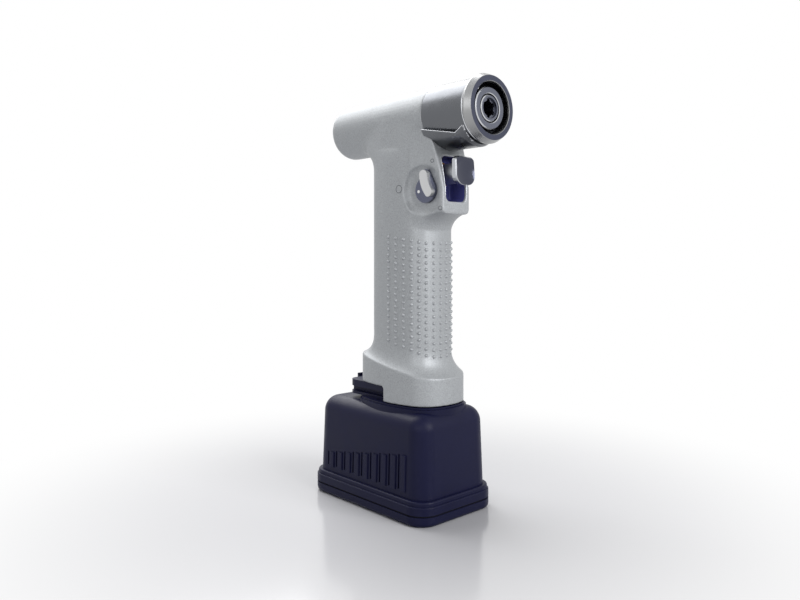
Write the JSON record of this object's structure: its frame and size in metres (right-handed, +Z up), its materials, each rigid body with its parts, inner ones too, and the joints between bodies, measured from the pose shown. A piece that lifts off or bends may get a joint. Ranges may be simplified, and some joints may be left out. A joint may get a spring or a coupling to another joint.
{
  "type": "surgical power handpiece",
  "caption": "Cordless pistol-grip surgical drive handpiece with a turning attachment collar, six-lobed spindle, trigger, side selector and slide-off battery foot.",
  "frame": {"origin": "centre of the battery's bottom face, where the tool stands", "axes": "+X forward along the nose and spindle, +Y to the tool's left, +Z up along the grip"},
  "size_m": [0.1142, 0.057, 0.2264],
  "materials": {
    "housing_silver": "satin silver-grey coat on cast aluminium",
    "satin_steel": "satin turned stainless steel",
    "polished_steel": "polished stainless steel",
    "bearing_steel": "ground bearing steel",
    "gear_steel": "hobbed and ground gear steel",
    "seal_rubber": "matt black moulded rubber",
    "spring_steel": "bright spring wire",
    "core_steel": "stacked silicon steel sheets",
    "copper": "enamelled copper wire",
    "magnet": "nickel-plated sintered magnet",
    "board": "green printed circuit laminate",
    "black_component": "moulded black epoxy",
    "insulator": "black glass-filled plastic",
    "contact_metal": "gold-plated contact spring",
    "case_plastic": "navy-black moulded plastic with a fine grain",
    "cell_wrap": "shrink-wrapped cell",
    "nickel": "nickel strip",
    "bronze": "sintered bronze",
    "white_plastic": "white moulded plastic"
  },
  "bodies": {
    "handpiece": {"housing": "housing_silver", "nose_sleeve": "satin_steel", "sleeve_seal": "seal_rubber", "coupling_ring": "satin_steel", "collar_clip": "spring_steel", "front_bearing_outer": "bearing_steel", "rear_bearing_outer": "bearing_steel", "shaft_seal": "seal_rubber", "ring_gear": "gear_steel", "motor_rear_bearing": "bearing_steel", "motor_front_bearing": "bearing_steel", "motor_can": "satin_steel", "motor_plate": "satin_steel", "stator_core": "core_steel", "stator_windings": "copper", "hall_board": "board", "trigger_bush": "bronze", "trigger_module": "insulator", "trigger_spring": "spring_steel", "selector_pivot": "polished_steel", "control_board": "board", "power_transistors": "black_component", "capacitors": "black_component", "contact_block": "insulator", "contact_blades": "contact_metal", "rail_shoe": "satin_steel"},
    "spindle": {"drive_spindle": "satin_steel", "planet_carrier": "gear_steel", "carrier_pins": "bearing_steel", "spindle_bearing_inners": "bearing_steel"},
    "planet_1": {"planet_gear_1": "gear_steel"},
    "planet_2": {"planet_gear_2": "gear_steel"},
    "planet_3": {"planet_gear_3": "gear_steel"},
    "rotor": {"rotor_shaft": "bearing_steel", "sun_gear": "gear_steel", "rotor_magnet": "magnet", "rotor_bearing_inners": "bearing_steel"},
    "collar": {"collar": "satin_steel"},
    "lock_pin": {"lock_pin": "polished_steel"},
    "trigger": {"trigger_cap": "polished_steel", "trigger_stem": "polished_steel", "trigger_magnet": "magnet"},
    "selector": {"selector_knob": "satin_steel", "selector_dot": "polished_steel", "selector_magnet": "magnet"},
    "battery": {"battery_tower": "case_plastic", "latch_pin": "bearing_steel", "latch_spring": "spring_steel", "battery_case": "case_plastic", "battery_gasket": "seal_rubber", "battery_base": "case_plastic", "base_screws": "polished_steel", "battery_cells": "cell_wrap", "cell_holder": "white_plastic", "cell_straps": "nickel", "pack_board": "board", "battery_terminals": "contact_metal"},
    "latch": {"latch_lever": "case_plastic"}
  },
  "joints": [
    {"name": "drive_spin", "type": "hinge", "parent": "handpiece", "child": "spindle", "pos_m": [0.05, 0, 0.2089], "axis": [1, 0, 0], "continuous": true},
    {"name": "rotor_spin", "type": "hinge", "parent": "handpiece", "child": "rotor", "pos_m": [0, 0, 0.2089], "axis": [1, 0, 0], "continuous": true},
    {"name": "planet_1_spin", "type": "hinge", "parent": "spindle", "child": "planet_1", "pos_m": [0.0157, 0, 0.21632], "axis": [1, 0, 0], "continuous": true},
    {"name": "planet_2_spin", "type": "hinge", "parent": "spindle", "child": "planet_2", "pos_m": [0.0157, -0.00643, 0.20519], "axis": [1, 0, 0], "continuous": true},
    {"name": "planet_3_spin", "type": "hinge", "parent": "spindle", "child": "planet_3", "pos_m": [0.0157, 0.00643, 0.20519], "axis": [1, 0, 0], "continuous": true},
    {"name": "collar_turn", "type": "hinge", "parent": "handpiece", "child": "collar", "pos_m": [0.062, 0, 0.2089], "axis": [1, 0, 0], "range_deg": [0, 30], "stiffness_Nm_per_rad": 0.2},
    {"name": "lock_pin_press", "type": "slide", "parent": "handpiece", "child": "lock_pin", "axis": [-1, 0, 0], "range_m": [0, 0.003], "stiffness_N_per_m": 300, "springref_m": -0.001},
    {"name": "trigger_pull", "type": "slide", "parent": "handpiece", "child": "trigger", "axis": [-1, 0, 0], "range_m": [0, 0.005], "stiffness_N_per_m": 600, "springref_m": -0.002, "deforming": ["trigger_spring"]},
    {"name": "selector_turn", "type": "hinge", "parent": "handpiece", "child": "selector", "pos_m": [0.0334, -0.0113, 0.1695], "axis": [0.1045, -0.9945, 0], "range_deg": [-104, 117]},
    {"name": "battery_slide", "type": "slide", "parent": "handpiece", "child": "battery", "axis": [-1, 0, 0], "range_m": [0, 0.06]},
    {"name": "latch_press", "type": "hinge", "parent": "battery", "child": "latch", "pos_m": [-0.0156, 0, 0.06405], "axis": [0, -1, 0], "range_deg": [0, 6], "stiffness_Nm_per_rad": 0.05, "springref_deg": -2.86, "deforming": ["latch_spring"]}
  ],
  "couplings": [
    {"joint": "rotor_spin", "follows": "drive_spin", "ratio": 4.5},
    {"joint": "planet_1_spin", "follows": "drive_spin", "ratio": -2.8},
    {"joint": "planet_2_spin", "follows": "drive_spin", "ratio": -2.8},
    {"joint": "planet_3_spin", "follows": "drive_spin", "ratio": -2.8}
  ]
}
